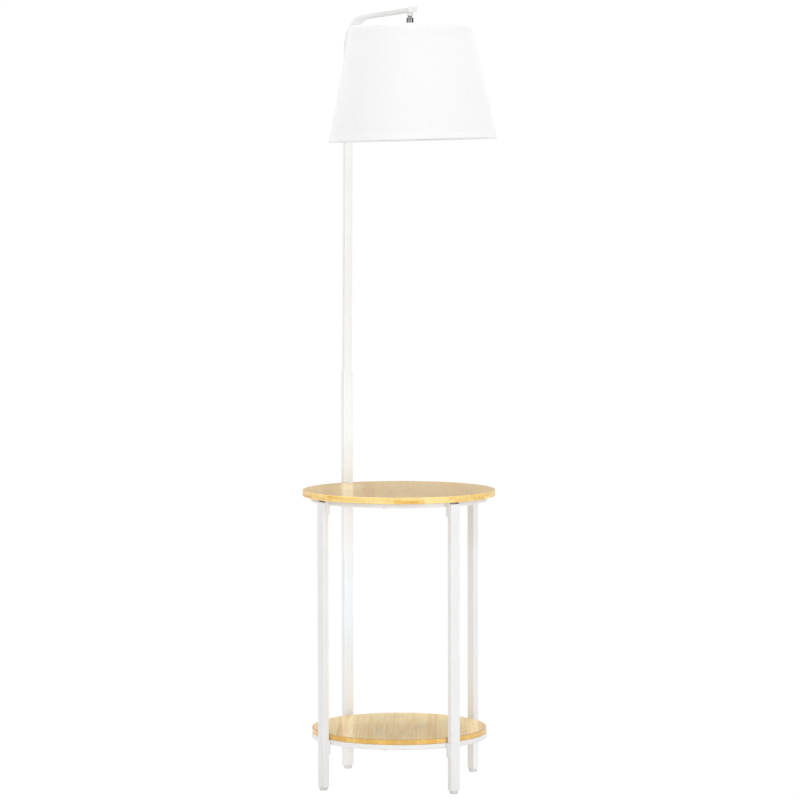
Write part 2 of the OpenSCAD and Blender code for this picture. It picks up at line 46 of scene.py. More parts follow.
# ------------------------------------------------------------------ node helpers
class Tree:
    """A short way to write a shader: every method returns an output socket."""

    def __init__(self, name):
        self.mat = bpy.data.materials.new(name)
        self.mat.use_nodes = True
        self.nt = self.mat.node_tree
        self.nt.nodes.clear()
        self.out = self.nt.nodes.new("ShaderNodeOutputMaterial")
        self.bsdf = self.nt.nodes.new("ShaderNodeBsdfPrincipled")
        self.nt.links.new(self.bsdf.outputs[0], self.out.inputs[0])

    def put(self, socket, value):
        if isinstance(value, bpy.types.NodeSocket):
            self.nt.links.new(value, socket)
        elif value is not None:
            socket.default_value = value

    def set(self, **values):
        names = {"color": "Base Color", "rough": "Roughness", "metal": "Metallic", "normal": "Normal", "ior": "IOR",
                 "spec": "Specular IOR Level", "coat": "Coat Weight", "coat_rough": "Coat Roughness", "coat_normal": "Coat Normal",
                 "sheen": "Sheen Weight", "sheen_rough": "Sheen Roughness", "trans": "Transmission Weight",
                 "alpha": "Alpha", "sub": "Subsurface Weight", "sub_radius": "Subsurface Radius", "sub_scale": "Subsurface Scale",
                 "emit": "Emission Color", "emit_strength": "Emission Strength", "aniso": "Anisotropic"}
        for k, v in values.items():
            self.put(self.bsdf.inputs[names[k]], v)
        return self

    def node(self, kind, **attributes):
        n = self.nt.nodes.new(kind)
        for k, v in attributes.items():
            setattr(n, k, v)
        return n

    def math(self, op, a, b=None, c=None, clamp=False):
        n = self.node("ShaderNodeMath", operation=op, use_clamp=clamp)
        for i, v in enumerate((a, b, c)):
            self.put(n.inputs[i], v)
        return n.outputs[0]

    def vmath(self, op, a, b=None, scale=None):
        n = self.node("ShaderNodeVectorMath", operation=op)
        self.put(n.inputs[0], a)
        if b is not None:
            self.put(n.inputs[1], b)
        if scale is not None:
            self.put(n.inputs["Scale"], scale)
        return n.outputs["Value"] if op in ("LENGTH", "DOT_PRODUCT", "DISTANCE") else n.outputs[0]

    def coords(self, kind="Object"):
        return self.node("ShaderNodeTexCoord").outputs[kind]

    def uv(self, name):
        return self.node("ShaderNodeUVMap", uv_map=name).outputs[0]

    def turned(self, vector, angle, scale=(1, 1, 1), shift=(0, 0, 0)):
        n = self.node("ShaderNodeMapping", vector_type="POINT")
        self.put(n.inputs[0], vector)
        n.inputs["Rotation"].default_value = (0, 0, angle)
        n.inputs["Scale"].default_value = scale
        n.inputs["Location"].default_value = shift
        return n.outputs[0]

    def apart(self, vector):
        n = self.node("ShaderNodeSeparateXYZ")
        self.put(n.inputs[0], vector)
        return n.outputs[0], n.outputs[1], n.outputs[2]

    def xyz(self, x, y, z):
        n = self.node("ShaderNodeCombineXYZ")
        for i, v in enumerate((x, y, z)):
            self.put(n.inputs[i], v)
        return n.outputs[0]

    def noise(self, vector, scale=1.0, detail=2.0, rough=0.5, distortion=0.0, color=False):
        n = self.node("ShaderNodeTexNoise", noise_dimensions="3D")
        self.put(n.inputs["Vector"], vector)
        self.put(n.inputs["Scale"], scale)
        self.put(n.inputs["Detail"], detail)
        self.put(n.inputs["Roughness"], rough)
        self.put(n.inputs["Distortion"], distortion)
        return n.outputs["Color"] if color else n.outputs["Fac"]

    def white(self, vector):
        n = self.node("ShaderNodeTexWhiteNoise", noise_dimensions="3D")
        self.put(n.inputs["Vector"], vector)
        return n.outputs["Value"]

    def cells(self, vector, scale, feature="F1", distance=False):
        n = self.node("ShaderNodeTexVoronoi", feature=feature)
        self.put(n.inputs["Vector"], vector)
        self.put(n.inputs["Scale"], scale)
        return n.outputs["Distance"]

    def ramp(self, fac, *stops, mode="LINEAR"):
        n = self.node("ShaderNodeValToRGB")
        e = n.color_ramp.elements
        n.color_ramp.interpolation = mode
        while len(e) < len(stops):
            e.new(0.5)
        for item, (pos, col) in zip(e, stops):
            item.position = pos
            item.color = (*col, 1) if hasattr(col, "__len__") else (col, col, col, 1)
        self.put(n.inputs[0], fac)
        return n.outputs[0]

    def span(self, v, a, b, c=0.0, d=1.0, smooth=False):
        n = self.node("ShaderNodeMapRange", interpolation_type="SMOOTHSTEP" if smooth else "LINEAR", clamp=True)
        for i, x in enumerate((v, a, b, c, d)):
            self.put(n.inputs[i], x)
        return n.outputs[0]

    def mix(self, fac, a, b, blend="MIX"):
        n = self.node("ShaderNodeMix", data_type="RGBA", blend_type=blend)
        self.put(n.inputs[0], fac)
        self.put(n.inputs[6], (*a, 1) if isinstance(a, tuple) else a)
        self.put(n.inputs[7], (*b, 1) if isinstance(b, tuple) else b)
        return n.outputs[2]

    def bump(self, height, distance, strength=1.0, normal=None):
        n = self.node("ShaderNodeBump")
        self.put(n.inputs["Strength"], strength)
        self.put(n.inputs["Distance"], distance)
        self.put(n.inputs["Height"], height)
        if normal is not None:
            self.put(n.inputs["Normal"], normal)
        return n.outputs[0]


# ------------------------------------------------------------------ materials
def bamboo(name, angle, strip, z0, ply, top, shift, seed, blotch, contrast, streak, rim, joints, edge, painted_edge_shade_amount, light=(0.96, 0.735, 0.345), dark=(0.79, 0.455, 0.095)):
    """Strips of bamboo glued side by side in plies: a solid texture, so that the rim shows the ends and sides of the same strips."""
    t = Tree(name)
    p = t.turned(t.coords(), angle)
    x, y, z = t.apart(p)
    layer = t.math("FLOOR", t.math("DIVIDE", t.math("SUBTRACT", z, z0), ply))
    across = t.math("ADD", t.math("DIVIDE", x, strip), t.math("ADD", t.math("MULTIPLY", layer, 0.43), shift))
    index = t.math("FLOOR", across)
    part = t.math("FRACT", across)
    r1 = t.white(t.xyz(index, layer, seed))
    r2 = t.white(t.xyz(index, layer, seed + 11.7))
    r3 = t.white(t.xyz(index, layer, seed + 23.1))
    # how far the point lies inside the upper face, where the joints of the culm show most
    face = t.span(z, top - 0.0016, top - 0.0004, 0.15, 1.0, smooth=True)
    # tone of each strip, with a few browner ones
    tone = t.ramp(r1, (0.0, 0.0), (0.45, 0.14), (0.78, 0.32), (0.90, 0.62), (1.0, 1.0))
    # the strips differ less on the sanded face than on the rim
    tone = t.math("ADD", t.math("MULTIPLY", tone, t.math("SUBTRACT", 1.0, t.math("MULTIPLY", face, 1.0 - contrast))), t.math("MULTIPLY", face, 0.08 * (1.0 - contrast)))
    # tone shifted in bands, as (kind, from, to, amount) over |x|, y or the radius; the shelf's y band is painted shade,
    # a more golden front where its reflection is weaker
    radius = t.vmath("LENGTH", t.xyz(x, y, 0.0))
    for kind, a, b, amount in rim:
        where = {"x": t.math("ABSOLUTE", x), "y": y, "r": radius}[kind]
        tone = t.math("ADD", tone, t.span(where, a, b, 0.0, amount, smooth=True))
    # slow change along each strip; the bluish darker patches that cross the strips are painted shade
    slow = t.noise(t.xyz(t.math("MULTIPLY", index, 3.7), t.math("MULTIPLY", y, 6.0), t.math("MULTIPLY", layer, 2.9)), 1.0, 2.0)
    tone = t.math("ADD", tone, t.math("MULTIPLY", t.math("SUBTRACT", slow, 0.5), blotch))
    painted_shade_patch = t.noise(t.xyz(t.math("MULTIPLY", x, 15.0), t.math("ADD", t.math("MULTIPLY", y, 6.5), seed * 0.13), t.math("MULTIPLY", layer, 5.1)), 1.0, 2.5, 0.6)
    # fibre streaks along the strip, at three scales
    fine = t.noise(t.xyz(t.math("MULTIPLY", x, 1500), t.math("ADD", t.math("MULTIPLY", y, 22), t.math("MULTIPLY", index, 5.3)), t.math("MULTIPLY", z, 1500)), 1.0, 3.0, 0.6)
    broad = t.noise(t.xyz(t.math("MULTIPLY", x, 300), t.math("ADD", t.math("MULTIPLY", y, 6), t.math("MULTIPLY", index, 9.1)), t.math("MULTIPLY", z, 300)), 1.0, 2.0, 0.55)
    wide = t.noise(t.xyz(t.math("MULTIPLY", x, 105), t.math("ADD", t.math("MULTIPLY", y, 3.5), t.math("MULTIPLY", index, 4.7)), t.math("MULTIPLY", z, 105)), 1.0, 1.0, 0.5)
    tone = t.math("ADD", tone, t.math("MULTIPLY", t.math("SUBTRACT", fine, 0.5), 0.45 * streak))
    tone = t.math("ADD", tone, t.math("MULTIPLY", t.math("SUBTRACT", broad, 0.5), 1.15 * streak))
    tone = t.math("ADD", tone, t.math("MULTIPLY", t.math("SUBTRACT", wide, 0.5), 0.60 * streak))
    base = t.mix(t.math("MULTIPLY", tone, 1.0, clamp=True), light, dark)
    # painted shade: bluish darker patches laid over the strips
    base = t.mix(t.span(painted_shade_patch, 0.46, 0.66, 0.0, 0.40 * streak, smooth=True), base, (0.80, 0.84, 0.90), blend="MULTIPLY")
    # painted shade: a darker line along the rounded upper edge, where the fillet catches light
    painted_edge_shade = t.math("MULTIPLY", t.span(radius, edge - 0.0024, edge - 0.0014, smooth=True), t.span(z, top - 0.0017, top - 0.0011, smooth=True))
    base = t.mix(t.math("MULTIPLY", painted_edge_shade, painted_edge_shade_amount), base, (0.50, 0.29, 0.09))
    # small brown vessel flecks
    fleck = t.noise(t.xyz(t.math("MULTIPLY", x, 2300), t.math("ADD", t.math("MULTIPLY", y, 85), t.math("MULTIPLY", index, 2.2)), t.math("MULTIPLY", z, 2300)), 1.0, 1.0, 0.5)
    fleck = t.span(fleck, 0.63, 0.78, 0, 0.45)
    base = t.mix(fleck, base, (0.42, 0.22, 0.075))
    # the culm's joints: a soft dark line with a paler band, at its own place in every strip
    way = t.noise(t.xyz(t.math("MULTIPLY", x, 70), index, 4.0), 1.0, 1.0)
    along = t.math("ADD", y, t.math("ADD", t.math("MULTIPLY", r2, 0.9), t.math("MULTIPLY", way, 0.006)))
    period = t.math("ADD", 0.22, t.math("MULTIPLY", r3, 0.09))
    d = t.math("MULTIPLY", t.math("ABSOLUTE", t.math("SUBTRACT", t.math("FRACT", t.math("DIVIDE", along, period)), 0.5)), period)
    knot = t.span(d, 0.0004, 0.0026, 1, 0, smooth=True)
    halo = t.span(d, 0.001, 0.010, 1, 0, smooth=True)
    base = t.mix(t.math("MULTIPLY", halo, t.math("MULTIPLY", face, 0.48 * joints)), base, (0.72, 0.46, 0.18))
    base = t.mix(t.math("MULTIPLY", knot, t.math("MULTIPLY", face, joints)), base, (0.38, 0.20, 0.07))
    # glue lines between strips and plies
    side = t.math("MULTIPLY", t.math("MINIMUM", part, t.math("SUBTRACT", 1.0, part)), strip)
    level = t.math("FRACT", t.math("DIVIDE", t.math("SUBTRACT", z, z0), ply))
    up = t.math("MULTIPLY", t.math("MINIMUM", level, t.math("SUBTRACT", 1.0, level)), ply)
    seam = t.span(t.math("MINIMUM", side, up), 0.00004, 0.00024, 1, 0, smooth=True)
    base = t.mix(t.math("MULTIPLY", seam, 0.50), base, (0.40, 0.22, 0.08))
    height = t.math("ADD", t.math("MULTIPLY", fine, 0.35), t.math("MULTIPLY", seam, -0.9))
    height = t.math("ADD", height, t.math("MULTIPLY", t.math("MULTIPLY", knot, face), 0.35))
    wave = t.noise(t.coords(), 38.0, 2.0)
    rough = t.span(t.math("ADD", t.math("MULTIPLY", fine, 0.6), t.math("MULTIPLY", wave, 0.4)), 0.3, 0.7, 0.40, 0.52)
    t.set(color=base, rough=rough, spec=0.20, normal=t.bump(height, 0.00006, 0.7), coat=0.72, coat_rough=0.10)
    t.bsdf.inputs["Coat IOR"].default_value = 1.5
    t.put(t.bsdf.inputs["Coat Normal"], t.bump(t.math("ADD", wave, t.math("MULTIPLY", height, 0.15)), 0.00010, 0.35))
    return t.mat


def powder(name, tint=(0.845, 0.845, 0.842), rough=(0.33, 0.42), peel=0.00003):
    """Powder coat: a fine orange peel, slight cloudiness and a few specks."""
    t = Tree(name)
    p = t.coords()
    peel1 = t.noise(p, 900.0, 2.0, 0.5)
    peel2 = t.noise(p, 260.0, 1.0, 0.5)
    cloud = t.noise(p, 14.0, 3.0, 0.55)
    speck = t.span(t.cells(p, 420.0), 0.035, 0.075, 1, 0)
    low = tuple(c * 0.965 for c in tint)
    base = t.mix(t.span(cloud, 0.3, 0.7), low, tint)
    base = t.mix(t.math("MULTIPLY", speck, 0.10), base, (0.62, 0.61, 0.58))
    height = t.math("ADD", t.math("MULTIPLY", peel1, 0.55), t.math("MULTIPLY", peel2, 0.45))
    r = t.span(t.math("ADD", t.math("MULTIPLY", cloud, 0.5), t.math("MULTIPLY", peel1, 0.5)), 0.35, 0.65, rough[0], rough[1])
    t.set(color=base, rough=r, normal=t.bump(height, peel, 0.8))
    return t.mat


def plastic(name, tint, rough=(0.3, 0.4), grain=700.0, depth=0.00002, wear=0.04):
    """Moulded plastic: a faint flow cloud and the fine grain of the mould."""
    t = Tree(name)
    p = t.coords()
    cloud = t.noise(p, 45.0, 3.0, 0.6)
    fine = t.noise(p, grain, 3.0, 0.6)
    low = tuple(c * (1 - wear * 1.6) for c in tint)
    base = t.mix(t.span(cloud, 0.32, 0.68), low, tint)
    r = t.span(t.math("ADD", t.math("MULTIPLY", cloud, 0.4), t.math("MULTIPLY", fine, 0.6)), 0.3, 0.7, rough[0], rough[1])
    t.set(color=base, rough=r, normal=t.bump(fine, depth, 0.7))
    return t.mat


def metal(name, tint, rough=(0.25, 0.4), stretch=(220, 220, 220), depth=0.000006, stain=0.10, dark=None):
    """Bare or plated metal with fine drawing lines and uneven plating."""
    t = Tree(name)
    p = t.coords()
    lines = t.noise(t.vmath("MULTIPLY", p, stretch), 1.0, 3.0, 0.65)
    cloud = t.noise(p, 130.0, 3.0, 0.6)
    low = dark or tuple(c * (1 - stain * 2.2) for c in tint)
    base = t.mix(t.span(cloud, 0.3, 0.7), low, tint)
    r = t.span(t.math("ADD", t.math("MULTIPLY", lines, 0.6), t.math("MULTIPLY", cloud, 0.4)), 0.3, 0.7, rough[0], rough[1])
    t.set(color=base, rough=r, metal=1.0, normal=t.bump(lines, depth, 0.6))
    return t.mat


def chrome(name, dark, light):
    t = Tree(name)
    p = t.coords()
    smear = t.noise(p, 170.0, 3.0, 0.6)
    scratch = t.noise(t.vmath("MULTIPLY", t.vmath("ADD", p, t.vmath("SCALE", t.noise(p, 60.0, 1.0, color=True), scale=0.01)), (260, 260, 5200)), 1.0, 2.0, 0.6)
    base = t.mix(t.span(smear, 0.35, 0.7), dark, light)
    r = t.span(t.math("ADD", t.math("MULTIPLY", smear, 0.55), t.math("MULTIPLY", scratch, 0.45)), 0.35, 0.72, 0.045, 0.13)
    t.set(color=base, rough=r, metal=1.0, normal=t.bump(scratch, 0.000002, 0.4))
    return t.mat


def linen(name, tint=(0.862, 0.862, 0.860), pitch=0.00062, turn=0.0, depth=0.00011, uv="flat"):
    """Plain linen weave laid out in the cloth's own flat pattern, in metres, with slubs in both directions."""
    t = Tree(name)
    p = t.turned(t.uv(uv), turn)
    x, y, _ = t.apart(p)
    wob = t.noise(p, 60.0, 2.0, 0.5)
    wx = t.math("ADD", t.math("DIVIDE", x, pitch), t.math("MULTIPLY", wob, 1.6))
    wy = t.math("ADD", t.math("DIVIDE", y, pitch), t.math("MULTIPLY", t.noise(p, 47.0, 2.0, 0.5), 1.6))
    two_pi = 2 * math.pi
    warp = t.math("ABSOLUTE", t.math("SINE", t.math("MULTIPLY", wx, math.pi)))
    weft = t.math("ABSOLUTE", t.math("SINE", t.math("MULTIPLY", wy, math.pi)))
    check = t.math("MULTIPLY", t.math("SINE", t.math("MULTIPLY", wx, math.pi)), t.math("SINE", t.math("MULTIPLY", wy, math.pi)))
    over = t.span(check, -0.25, 0.25, smooth=True)
    ix, iy = t.math("FLOOR", wx), t.math("FLOOR", wy)
    # every thread has its own thickness and tone, and both change slowly along it
    tx = t.noise(t.xyz(t.math("MULTIPLY", ix, 7.31), t.math("MULTIPLY", y, 85), 1.5), 1.0, 2.0, 0.6)
    ty = t.noise(t.xyz(t.math("MULTIPLY", x, 85), t.math("MULTIPLY", iy, 7.31), 8.5), 1.0, 2.0, 0.6)
    high_x = t.math("MULTIPLY", warp, t.math("ADD", 0.45, tx))
    high_y = t.math("MULTIPLY", weft, t.math("ADD", 0.45, ty))
    height = t.node("ShaderNodeMix", data_type="FLOAT")
    t.put(height.inputs[0], over)
    t.put(height.inputs[2], high_x)
    t.put(height.inputs[3], high_y)
    height = height.outputs[0]
    slub = t.node("ShaderNodeMix", data_type="FLOAT")
    t.put(slub.inputs[0], over)
    t.put(slub.inputs[2], tx)
    t.put(slub.inputs[3], ty)
    slub = slub.outputs[0]
    thread_gap_shade = t.span(height, 0.05, 0.42, 1, 0, smooth=True)
    cloud = t.noise(t.uv(uv), 9.0, 3.0, 0.5)
    low = tuple(c * 0.93 for c in tint)
    base = t.mix(t.span(slub, 0.32, 0.68), low, tint)
    # painted shade in the gaps between threads
    base = t.mix(t.math("MULTIPLY", thread_gap_shade, 0.18), base, tuple(c * 0.70 for c in tint))
    base = t.mix(t.span(cloud, 0.35, 0.65, 0.0, 0.15), base, tuple(c * 0.985 for c in tint))
    t.set(color=base, rough=0.88, spec=0.15, sheen=0.03, sheen_rough=0.4, normal=t.bump(height, depth, 0.75))
    return t.mat


def liner(name):
    """The smooth white liner inside the shade: faint wrap lines and a slight scatter of light."""
    t = Tree(name)
    p = t.coords()
    cloud = t.noise(p, 16.0, 3.0, 0.55)
    press = t.noise(t.uv("flat"), 420.0, 2.0, 0.5)
    base = t.mix(t.span(cloud, 0.3, 0.7), (0.80, 0.795, 0.775), (0.87, 0.865, 0.85))
    t.set(color=base, rough=t.span(press, 0.3, 0.7, 0.42, 0.55), normal=t.bump(press, 0.00003, 0.5))
    return t.mat


def frosted(name):
    t = Tree(name)
    p = t.coords()
    etch = t.noise(p, 1400.0, 3.0, 0.6)
    cloud = t.noise(p, 60.0, 2.0, 0.5)
    base = t.mix(t.span(cloud, 0.3, 0.7), (0.86, 0.86, 0.84), (0.93, 0.93, 0.915))
    t.set(color=base, rough=t.span(etch, 0.3, 0.7, 0.22, 0.36), normal=t.bump(etch, 0.00001, 0.5), coat=0.35, coat_rough=0.12, sub=0.35, sub_scale=0.01)
    t.bsdf.inputs["Subsurface Radius"].default_value = (1.0, 1.0, 1.0)
    return t.mat


M = {
    "top_wood": bamboo("bamboo_top", math.radians(-2.0), 0.0205, 0.590, 0.0065, 0.603, 0.8, 64304.5, 0.45, 0.90, 1.20,
                       (("x", 0.085, 0.125, 0.06),), 0.34, 0.1975, 0.12, (0.98, 0.722, 0.255), (0.80, 0.445, 0.072)),
    # shelf bands: y is painted shade on the front half, r darkens the rim face
    "shelf_wood": bamboo("bamboo_shelf", math.radians(1.0), 0.0205, 0.103, 0.0112, 0.114, 0.15, 59026.0, 0.60, 0.45, 1.45,
                         (("y", -0.02, -0.15, 0.03), ("r", 0.1786, 0.1793, 0.62)), 0.20, 0.1795, 0.90, (0.98, 0.750, 0.330), (0.80, 0.455, 0.092)),
    "white_metal": powder("white_powder_coat"),
    "wire": powder("white_wire_coat", (0.84, 0.84, 0.83), (0.30, 0.42), 0.00002),
    "cap": plastic("white_cap_plastic", (0.90, 0.90, 0.89), (0.25, 0.34)),
    "foot": plastic("foot_plastic", (0.71, 0.71, 0.705), (0.42, 0.55), 520.0, 0.00003, 0.06),
    "holder": plastic("holder_plastic", (0.83, 0.83, 0.80), (0.24, 0.33)),
    "nylon": plastic("nylon", (0.76, 0.76, 0.71), (0.40, 0.52)),
    "lead": plastic("lead_sheath", (0.80, 0.80, 0.78), (0.40, 0.52)),
    "zinc": metal("zinc_plate", (0.62, 0.63, 0.66), (0.24, 0.42), (300, 300, 2200)),
    "brass": metal("brass", (0.80, 0.58, 0.27), (0.20, 0.36), (300, 300, 1800), stain=0.12),
    "cap_metal": metal("bulb_cap_metal", (0.66, 0.66, 0.68), (0.25, 0.38), (300, 300, 2400)),
    # the second chrome, with a darker tint, is painted shade for the swivel cup's dark reflections
    "chrome": chrome("chrome", (0.50, 0.51, 0.53), (0.58, 0.59, 0.61)), "chrome_painted_dark": chrome("chrome_painted_dark", (0.21, 0.215, 0.225), (0.27, 0.275, 0.285)),
    "linen": linen("shade_linen"),
    "linen_hem": linen("shade_linen_binding", (0.874, 0.873, 0.870), 0.00062, math.radians(3.0), 0.00011, "flat"),
    "liner": liner("shade_liner"),
    "glass": frosted("frosted_glass"),
}

BY_NODE = {
    "top_wood": ["table_top"], "shelf_wood": ["shelf"],
    "white_metal": ["upper_ring", "lower_ring", "upper_brackets", "lower_brackets", "leg_front_left", "leg_front_right", "leg_back_right",
                    "post_lower", "pole_upper", "pole_lock_screw", "arm_boss", "top_wood_screws", "shelf_wood_screws"],
    "cap": ["leg_top_caps", "arm_end_cap"], "foot": ["glide_feet", "cord_inlet_grommet"],
    "zinc": ["leg_inserts", "leg_screws", "pole_lock_insert", "swivel_nut", "swivel_plug", "holder_nut"],
    "lead": ["lead_in_pole"], "nylon": ["swivel_washer", "ball_seat"], "chrome": ["swivel_stud"], "chrome_painted_dark": ["swivel_cup"],
    "holder": ["holder_cap", "holder_body", "shade_ring_nut"], "brass": ["holder_shell", "holder_contact"],
    "wire": ["shade_frame", "shade_bottom_ring"], "linen": ["shade_shell", "shade_top_hem", "shade_bottom_hem"],
    "cap_metal": ["bulb_cap"], "glass": ["bulb_globe"],
}
for key, names in BY_NODE.items():
    for n in names:
        nodes[n].data.materials.clear()
        nodes[n].data.materials.append(M[key])


# ------------------------------------------------------------------ meshes
def new_object(name, verts, faces, material, smooth=True, matrix=None):
    me = bpy.data.meshes.new(name)
    me.from_pydata(verts, [], faces)
    me.validate()
    me.update()
    o = bpy.data.objects.new(name, me)
    scene.collection.objects.link(o)
    me.materials.append(material)
    if smooth:
        me.polygons.foreach_set("use_smooth", [True] * len(me.polygons))
    if matrix is not None:
        o.matrix_world = matrix
    return o


def turned_strip(name, outline, steps, material, matrix, phase=0.0, closed=True, ripple=None, flat_uv=True):
    """A closed profile [(radius, z)] carried round the shade's axis. The UV map "flat" is the cone's flat pattern, in metres."""
    n = len(outline)
    verts, faces = [], []
    for i in range(steps):
        a = 2 * math.pi * i / steps + phase
        for j, (r, z) in enumerate(outline):
            dr, dz = ripple(a, j, r, z) if ripple else (0.0, 0.0)
            verts.append(((r + dr) * math.cos(a), (r + dr) * math.sin(a), z + dz))
    for i in range(steps):
        k = (i + 1) % steps
        for j in range(n if closed else n - 1):
            l = (j + 1) % n
            faces.append((i * n + j, i * n + l, k * n + l, k * n + j))
    o = new_object(name, verts, faces, material, matrix=matrix)
    if flat_uv:
        layer = o.data.uv_layers.new(name="flat")
        for poly in o.data.polygons:
            step = poly.index // (n if closed else n - 1)
            for li in poly.loop_indices:
                v = o.data.loops[li].vertex_index
                i, j = divmod(v, n)
                if step == steps - 1 and i == 0:
                    i = steps
                th = (i / steps - 0.5) * 2 * math.pi * SIN_A
                length = APEX(outline[j])
                layer.data[li].uv = (length * math.sin(th), length * math.cos(th))
    return o


# the head's own frame: origin at the ball's centre, z along the hanging axis
HANG = Vector((0.0237109, -0.0338626, 1.5570498))
HEAD = Matrix.Translation(HANG) @ Matrix.Rotation(math.radians(-1.44), 4, "Y")
TOP_R, BOT_R, Z_TOP, SHADE_H = 123.5 * MM, 171.0 * MM, -9.7 * MM, 232.0 * MM
Z_BOT = Z_TOP - SHADE_H
SLOPE = (BOT_R - TOP_R) / SHADE_H
ANGLE = math.atan(SLOPE)
SIN_A = math.sin(ANGLE)
SEAM_AT = math.radians(97.0)  # the lap seam, at the back


def shade_r(z):
    return TOP_R + (Z_TOP - z) * SLOPE


def APEX(point):
    """Distance of a point of the cone from its apex, along the cloth."""
    r, z = point
    return r / SIN_A


def shade_pieces():
    steps = 256
    made = []
    rows = 34

    # the cloth: from just under the top rim to just over the bottom one, a lap seam at the back
    t_out, t_in = 0.10 * MM, 0.45 * MM
    a, b = Z_TOP - 0.5 * MM, Z_BOT + 0.5 * MM
    zs = [a + (b - a) * k / rows for k in range(rows + 1)]
    outline = [(shade_r(z), z) for z in zs] + [(shade_r(z) - t_in, z) for z in reversed(zs)]

    def give(ang, j, r, z):
        # the board behind isn't perfectly round, and the cloth has slight tension waves
        s = 0.22 * MM * math.sin(3 * ang + 0.7) + 0.10 * MM * math.sin(7 * ang + 2.1 + z * 9)
        mid = math.sin(math.pi * min(max((Z_TOP - z) / SHADE_H, 0), 1))
        return (s * mid - 0.25 * MM * mid, 0.0)

    cloth = turned_strip("shade_cloth", outline, steps, M["linen"], HEAD, SEAM_AT, ripple=give)
    made.append(cloth)

    # the liner that carries it
    outline = [(shade_r(z) - t_in - 0.02 * MM, z) for z in zs] + [(shade_r(z) - 1.2 * MM, z) for z in reversed(zs)]
    board = turned_strip("shade_liner", outline, steps, M["liner"], HEAD, SEAM_AT, ripple=give)
    made.append(board)

    # the binding: a strip of the same cloth rolled over each rim and its wire
    def binding(name, rim, towards, seed):
        s = 1 if towards > 0 else -1
        h = 13.0 * MM
        prof = []
        out0, out1 = 0.05 * MM, 0.27 * MM
        prof.append((shade_r(rim + s * h) + out1 - 0.06 * MM, rim + s * h))
        prof.append((shade_r(rim + s * h) + out1 - 0.02 * MM, rim + s * (h - 0.10 * MM)))
        for k in range(9):                          # outer face, from the cut edge to the rim
            z = rim + s * (h - 0.25 * MM - (h - 1.05 * MM) * k / 8)
            prof.append((shade_r(z) + out1, z))
        mid_r = (shade_r(rim) + out1 + shade_r(rim) - 1.6 * MM) / 2
        half = (out1 + 1.6 * MM) / 2
        for k in range(1, 8):                       # over the rim
            q = math.pi * k / 8
            prof.append((mid_r + half * math.cos(q), rim + s * (0.8 * MM - 0.8 * MM * math.sin(q))))
        for k in range(7):                          # inner face, back down to its cut edge
            z = rim + s * (0.8 * MM + (9.0 * MM - 0.8 * MM) * k / 6)
            prof.append((shade_r(z) - 1.62 * MM, z))
        for k in range(7):                          # and back along the liner
            z = rim + s * (9.0 * MM - (9.0 * MM - 1.3 * MM) * k / 6)
            prof.append((shade_r(z) - 1.24 * MM, z))
        for k in range(5):
            q = math.pi * (4 - k) / 4
            prof.append((shade_r(rim) - 0.57 * MM + 0.67 * MM * math.cos(q), rim + s * (1.3 * MM - 0.45 * MM * math.sin(q))))
        for k in range(1, 9):
            z = rim + s * (1.3 * MM + (h - 1.3 * MM) * k / 8)
            prof.append((shade_r(z) + out0, z))
        if s < 0:
            prof = prof[::-1]
        rng = random.Random(seed)
        ph = [rng.uniform(0, 6.28) for _ in range(4)]

        def roll(ang, j, r, z):
            w = 0.10 * MM * math.sin(5 * ang + ph[0]) + 0.07 * MM * math.sin(17 * ang + ph[1]) + 0.035 * MM * math.sin(41 * ang + ph[2])
            near = max(0.0, 1 - abs(z - rim) / (13 * MM))
            edge = 0.16 * MM * math.sin(9 * ang + ph[3]) * (1 - near)
            return (w * 0.5 * near, edge)

        o = turned_strip(name, prof, steps, M["linen_hem"], HEAD, SEAM_AT, ripple=roll)
        return o

    made.append(binding("shade_top_binding", Z_TOP, -1, 5))
    made.append(binding("shade_bottom_binding", Z_BOT, 1, 9))

    # the lap seam: the end of the cloth, 9 mm over its beginning
    w = 9.0 * MM
    verts, faces, uvs = [], [], []
    cols = 7
    zs2 = [Z_TOP - 12.0 * MM + (SHADE_H - 24.0 * MM) * -k / 40 for k in range(41)]
    for side in (0, 1):
        for k, z in enumerate(zs2):
            for c in range(cols):
                r = shade_r(z)
                ang = SEAM_AT + (c / (cols - 1) - 0.5) * w / r
                lift = (0.42 if 0 < k < 40 else 0.14) * MM if side == 0 else 0.02 * MM  # its ends lie under the bindings
                fall = 1.0 if 0 < c < cols - 1 else 0.55
                dr = give(ang, 0, r, z)[0] + (lift * fall if side == 0 else lift)
                verts.append(((r + dr) * math.cos(ang), (r + dr) * math.sin(ang), z))
                uvs.append(((c / (cols - 1)) * w, r / SIN_A))
    n = 41 * cols
    for k in range(40):
        for c in range(cols - 1):
            i = k * cols + c
            faces.append((i, i + cols, i + cols + 1, i + 1))
            faces.append((n + i, n + i + 1, n + i + cols + 1, n + i + cols))
        for c0, flip in ((0, False), (cols - 1, True)):
            i, j = k * cols + c0, (k + 1) * cols + c0
            f = (i, n + i, n + j, j)
            faces.append(f[::-1] if flip else f)
    for k0, flip in ((0, True), (40, False)):
        for c in range(cols - 1):
            i = k0 * cols + c
            f = (i, n + i, n + i + 1, i + 1)
            faces.append(f[::-1] if flip else f)
    seam = new_object("shade_seam", verts, faces, M["linen"], matrix=HEAD)
    layer = seam.data.uv_layers.new(name="flat")
    for li, loop in enumerate(seam.data.loops):
        layer.data[li].uv = uvs[loop.vertex_index]
    made.append(seam)
    for o in made:
        bm = bmesh.new()
        bm.from_mesh(o.data)
        bmesh.ops.recalc_face_normals(bm, faces=bm.faces)
        bm.to_mesh(o.data)
        bm.free()
        o.data.update()
        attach(o, "head")
    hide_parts("shade_shell")
    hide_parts("shade_top_hem")
    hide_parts("shade_bottom_hem")
    return made


shade_pieces()


# ------------------------------------------------------------------ stage
def bare_tree(id_block):
    """A Tree over a world, whose own output is a background shader."""
    id_block.use_nodes = True
    t = Tree.__new__(Tree)
    t.nt = id_block.node_tree
    t.nt.nodes.clear()
    return t


